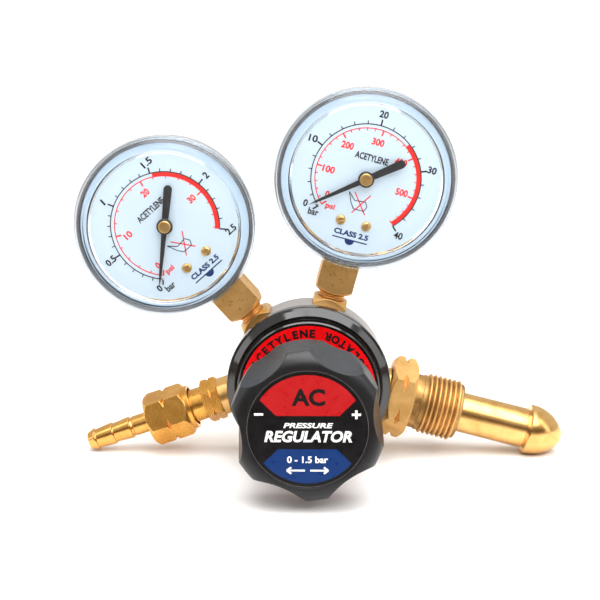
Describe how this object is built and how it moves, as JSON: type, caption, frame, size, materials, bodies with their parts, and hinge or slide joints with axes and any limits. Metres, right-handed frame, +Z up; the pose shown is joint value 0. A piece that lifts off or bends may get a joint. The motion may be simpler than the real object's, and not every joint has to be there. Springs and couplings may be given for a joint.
{
  "type": "gas pressure regulator",
  "caption": "Acetylene pressure regulator with a lobed adjusting knob, cylinder and outlet gauges, a nut and bullet-nose inlet and a barbed hose outlet.",
  "frame": {"origin": "centre of the bounding box in X and Y, on the table that the regulator stands on", "axes": "-Y along the knob's axis towards the user, +X towards the cylinder inlet, +Z up; the regulator stands on its inlet nose and hose barb, with the knob's axis level"},
  "size_m": [0.1785, 0.0798, 0.1374],
  "materials": {
    "brass": "turned and forged, lightly tarnished",
    "satin_steel": "satin nickel",
    "case_steel": "bright drawn steel",
    "spring_steel": "spring steel",
    "screw_steel": "zinc plated",
    "bonnet_black": "gloss black enamel",
    "label_red": "printed film",
    "knob_black": "satin moulded",
    "knob_print": "printed film",
    "lens_clear": "clear polycarbonate",
    "dial_white": "white enamel with printed scale",
    "pointer_black": "matt black",
    "diaphragm_rubber": "fabric reinforced",
    "aluminium": "turned",
    "nylon": "seat pad",
    "bronze_filter": "sintered"
  },
  "bodies": {
    "regulator": {"body": "brass", "body_band": "satin_steel", "bonnet": "bonnet_black", "bonnet_label": "label_red", "main_spring": "spring_steel", "diaphragm": "diaphragm_rubber", "slip_ring": "screw_steel", "valve_nozzle": "brass", "poppet_spring": "spring_steel", "inlet_nipple": "brass", "inlet_filter": "bronze_filter", "outlet_adapter": "brass", "hose_barb": "brass", "low_gauge_case": "case_steel", "low_gauge_lens": "lens_clear", "low_gauge_dial": "dial_white", "low_gauge_dial_screws": "brass", "low_gauge_socket": "brass", "low_gauge_case_screws": "screw_steel", "low_gauge_bourdon_tube": "brass", "low_gauge_movement": "brass", "low_gauge_hairspring": "spring_steel", "low_gauge_stop_pin": "screw_steel", "high_gauge_case": "case_steel", "high_gauge_lens": "lens_clear", "high_gauge_dial": "dial_white", "high_gauge_dial_screws": "brass", "high_gauge_socket": "brass", "high_gauge_case_screws": "screw_steel", "high_gauge_bourdon_tube": "brass", "high_gauge_movement": "brass", "high_gauge_hairspring": "spring_steel", "high_gauge_stop_pin": "screw_steel"},
    "spring_seat": {"spring_button": "screw_steel"},
    "knob": {"knob": "knob_black", "knob_label": "knob_print", "adjusting_screw": "screw_steel"},
    "diaphragm_plate": {"diaphragm_plate": "aluminium", "diaphragm_nut": "brass"},
    "poppet": {"poppet": "brass", "seat_pad": "nylon"},
    "inlet_nut": {"inlet_nut": "brass"},
    "outlet_nut": {"outlet_nut": "brass"},
    "low_pointer": {"low_gauge_pointer": "pointer_black", "low_gauge_pointer_cap": "brass", "low_gauge_pinion": "screw_steel"},
    "low_sector": {"low_gauge_sector_gear": "brass"},
    "low_link": {"low_gauge_link": "screw_steel", "low_gauge_bourdon_tip": "brass"},
    "high_pointer": {"high_gauge_pointer": "pointer_black", "high_gauge_pointer_cap": "brass", "high_gauge_pinion": "screw_steel"},
    "high_sector": {"high_gauge_sector_gear": "brass"},
    "high_link": {"high_gauge_link": "screw_steel", "high_gauge_bourdon_tip": "brass"}
  },
  "joints": [
    {"name": "screw_advance", "type": "slide", "parent": "regulator", "child": "spring_seat", "axis": [0, 1, 0], "range_m": [0, 0.00701], "deforming": ["main_spring"]},
    {"name": "knob_turn", "type": "hinge", "parent": "spring_seat", "child": "knob", "pos_m": [-0.00534, -0.0181, 0.03012], "axis": [0, 1, 0], "range_deg": [0, 1440]},
    {"name": "diaphragm_stroke", "type": "slide", "parent": "regulator", "child": "diaphragm_plate", "axis": [0, 1, 0], "range_m": [0, 0.0008], "stiffness_N_per_m": 1500, "deforming": ["diaphragm", "poppet_spring"]},
    {"name": "poppet_lift", "type": "slide", "parent": "regulator", "child": "poppet", "axis": [0, 1, 0], "range_m": [0, 0.00081]},
    {"name": "inlet_nut_turn", "type": "hinge", "parent": "regulator", "child": "inlet_nut", "pos_m": [0.03631, 0.0259, 0.01943], "axis": [0.9686, 0, -0.2487], "continuous": true},
    {"name": "outlet_nut_turn", "type": "hinge", "parent": "regulator", "child": "outlet_nut", "pos_m": [-0.05615, 0.0259, 0.01483], "axis": [-0.9421, 0, -0.3355], "continuous": true},
    {"name": "low_pointer_turn", "type": "hinge", "parent": "regulator", "child": "low_pointer", "pos_m": [-0.05686, 0.0259, 0.08734], "axis": [0, 1, 0], "range_deg": [0, 266], "stiffness_Nm_per_rad": 0.0004, "deforming": ["low_gauge_hairspring"]},
    {"name": "low_sector_turn", "type": "hinge", "parent": "regulator", "child": "low_sector", "pos_m": [-0.04924, 0.0259, 0.07887], "axis": [0, 1, 0], "range_deg": [-49.92, 0]},
    {"name": "low_link_slide", "type": "slide", "parent": "regulator", "child": "low_link", "axis": [-0.9976, 0, 0.0698], "range_m": [0, 0.00424], "deforming": ["low_gauge_bourdon_tube"]},
    {"name": "high_pointer_turn", "type": "hinge", "parent": "regulator", "child": "high_pointer", "pos_m": [0.01485, 0.0259, 0.10443], "axis": [0, 1, 0], "range_deg": [0, 266], "stiffness_Nm_per_rad": 0.0004, "deforming": ["high_gauge_hairspring"]},
    {"name": "high_sector_turn", "type": "hinge", "parent": "regulator", "child": "high_sector", "pos_m": [0.01186, 0.0259, 0.09343], "axis": [0, 1, 0], "range_deg": [-49.92, 0]},
    {"name": "high_link_slide", "type": "slide", "parent": "regulator", "child": "high_link", "axis": [-0.4818, 0, 0.8763], "range_m": [0, 0.00424], "deforming": ["high_gauge_bourdon_tube"]}
  ],
  "couplings": [
    {"joint": "screw_advance", "follows": "knob_turn", "m_per_rad": 0.00027852},
    {"joint": "poppet_lift", "follows": "diaphragm_stroke", "ratio": 1},
    {"joint": "low_sector_turn", "follows": "low_pointer_turn", "ratio": -0.1875},
    {"joint": "low_link_slide", "follows": "low_pointer_turn", "m_per_rad": 0.00090818},
    {"joint": "high_sector_turn", "follows": "high_pointer_turn", "ratio": -0.1875},
    {"joint": "high_link_slide", "follows": "high_pointer_turn", "m_per_rad": 0.00090818}
  ]
}
